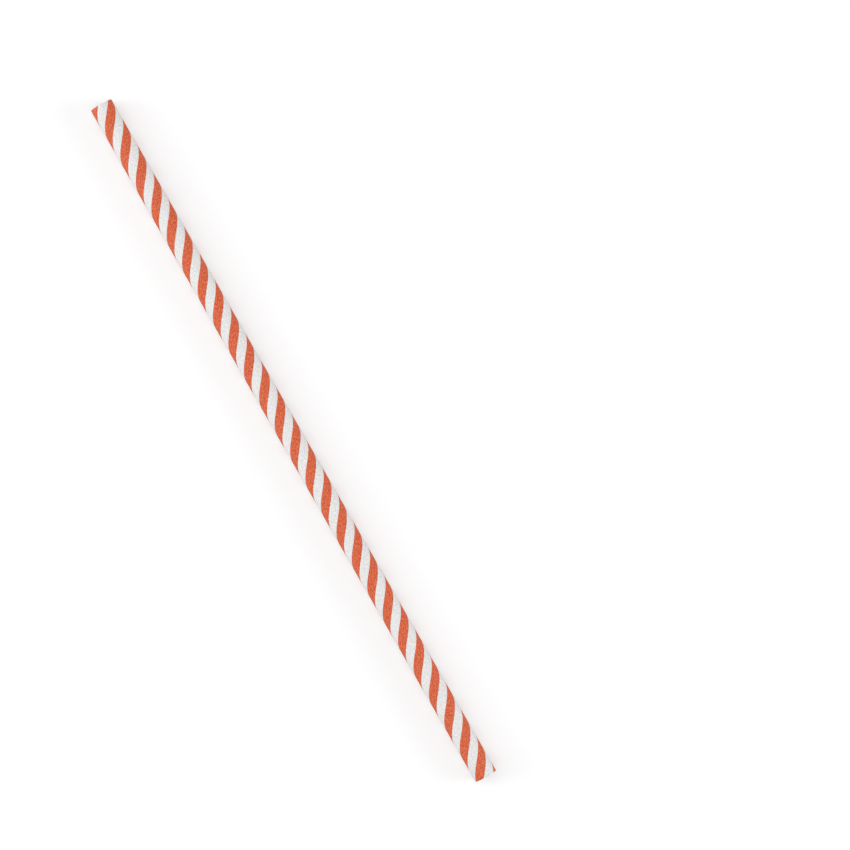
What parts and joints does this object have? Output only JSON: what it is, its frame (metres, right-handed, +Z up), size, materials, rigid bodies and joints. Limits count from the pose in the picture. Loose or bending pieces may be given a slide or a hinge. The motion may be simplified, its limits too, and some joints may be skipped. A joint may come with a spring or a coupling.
{
  "type": "paper party straw",
  "caption": "Straight drinking straw of spirally wound paper, a thin open tube cut square at both ends, with coral and white helical bands.",
  "frame": {"origin": "the middle of the line on which the straw lies, at the surface under it", "axes": "+X along the straw, towards the end that stands uppermost in the picture; +Z up, away from the surface under it"},
  "size_m": [0.197, 0.006, 0.006],
  "materials": {
    "printed_paper": "matte"
  },
  "bodies": {
    "root": {"straw": "printed_paper"}
  },
  "joints": []
}
